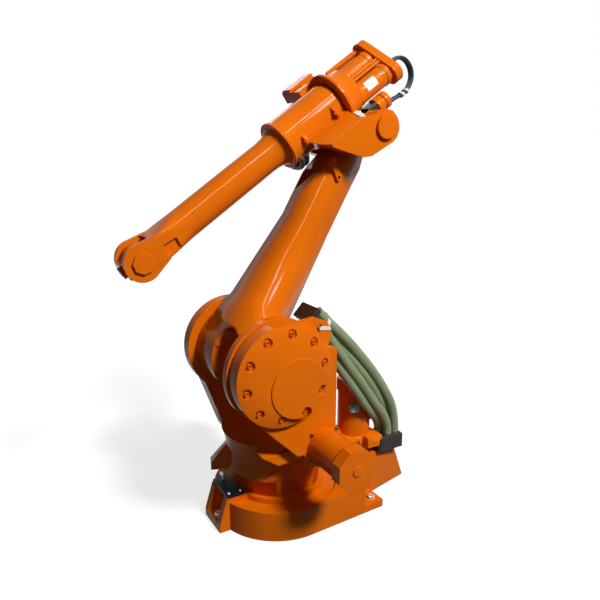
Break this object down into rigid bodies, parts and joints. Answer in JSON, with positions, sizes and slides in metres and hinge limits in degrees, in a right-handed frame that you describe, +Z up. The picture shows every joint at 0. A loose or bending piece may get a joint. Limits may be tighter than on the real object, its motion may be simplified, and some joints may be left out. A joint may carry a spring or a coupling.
{
  "type": "industrial robot arm",
  "caption": "Floor-standing jointed industrial robot arm with a round base, tapered lower arm, long tubular forearm with rear-mounted wrist drives, and a small tool flange.",
  "frame": {"origin": "on the vertical turning axis at floor level, on the flat underside of the base", "axes": "+Z up, +X the way the arm reaches, +Y to the side of the shoulder drive motor"},
  "size_m": [1.066, 0.8493, 1.6586],
  "materials": {
    "black_cable": "satin",
    "black_steel": "satin",
    "bright_steel": "bright",
    "dark_metal": "matt",
    "green_hose": "matt",
    "orange_paint": "glossy",
    "white_strap": "matt"
  },
  "bodies": {
    "base": {"base_casting": "orange_paint", "connector_box": "orange_paint", "clamp_plate": "black_steel", "clamp_stud": "bright_steel"},
    "turret": {"axis_1_motor": "orange_paint", "axis_1_motor_cap": "orange_paint", "axis_2_motor": "orange_paint", "axis_2_motor_cap": "orange_paint", "axis_3_motor": "orange_paint", "axis_3_motor_cap": "orange_paint", "far_gear_housing": "orange_paint", "hose_inlet": "dark_metal", "hose_tie": "white_strap", "near_gear_cover": "orange_paint", "near_gear_housing": "orange_paint", "supply_hose_1": "green_hose", "supply_hose_2": "green_hose", "supply_hose_3": "green_hose", "supply_hose_4": "green_hose", "turret_casting": "orange_paint"},
    "lower_arm": {"lower_arm": "orange_paint"},
    "upper_arm": {"arm_house": "orange_paint", "near_pivot_cap": "orange_paint", "far_pivot_cap": "orange_paint", "axis_4_motor_box": "orange_paint", "elbow_shaft": "bright_steel"},
    "forearm": {"forearm_tube": "orange_paint", "bell_flange": "orange_paint", "motor_cage": "orange_paint", "axis_5_motor": "orange_paint", "axis_6_motor": "orange_paint", "cable_terminal": "orange_paint", "wrist_cable_1": "black_cable", "wrist_cable_2": "black_cable"},
    "wrist": {"wrist_housing": "orange_paint"},
    "flange": {"tool_flange": "bright_steel"}
  },
  "joints": [
    {"name": "axis_1", "type": "hinge", "parent": "base", "child": "turret", "pos_m": [0, 0, 0.615], "axis": [0, 0, 1], "range_deg": [-170, 170]},
    {"name": "axis_2", "type": "hinge", "parent": "turret", "child": "lower_arm", "pos_m": [0.11, 0, 0.615], "axis": [0, 1, 0], "range_deg": [-65, 100]},
    {"name": "axis_3", "type": "hinge", "parent": "lower_arm", "child": "upper_arm", "pos_m": [-0.33421, 0, 1.35723], "axis": [0, -1, 0], "range_deg": [-3, 125]},
    {"name": "axis_4", "type": "hinge", "parent": "upper_arm", "child": "forearm", "pos_m": [-0.26058, 0, 1.46436], "axis": [0.8241, 0, -0.5664], "range_deg": [-150, 150]},
    {"name": "axis_5", "type": "hinge", "parent": "forearm", "child": "wrist", "pos_m": [0.463, 0, 0.96706], "axis": [0, 1, 0], "range_deg": [-115, 115]},
    {"name": "axis_6", "type": "hinge", "parent": "wrist", "child": "flange", "pos_m": [0.51657, 0, 0.93024], "axis": [0.8241, 0, -0.5664], "range_deg": [-300, 300]}
  ]
}
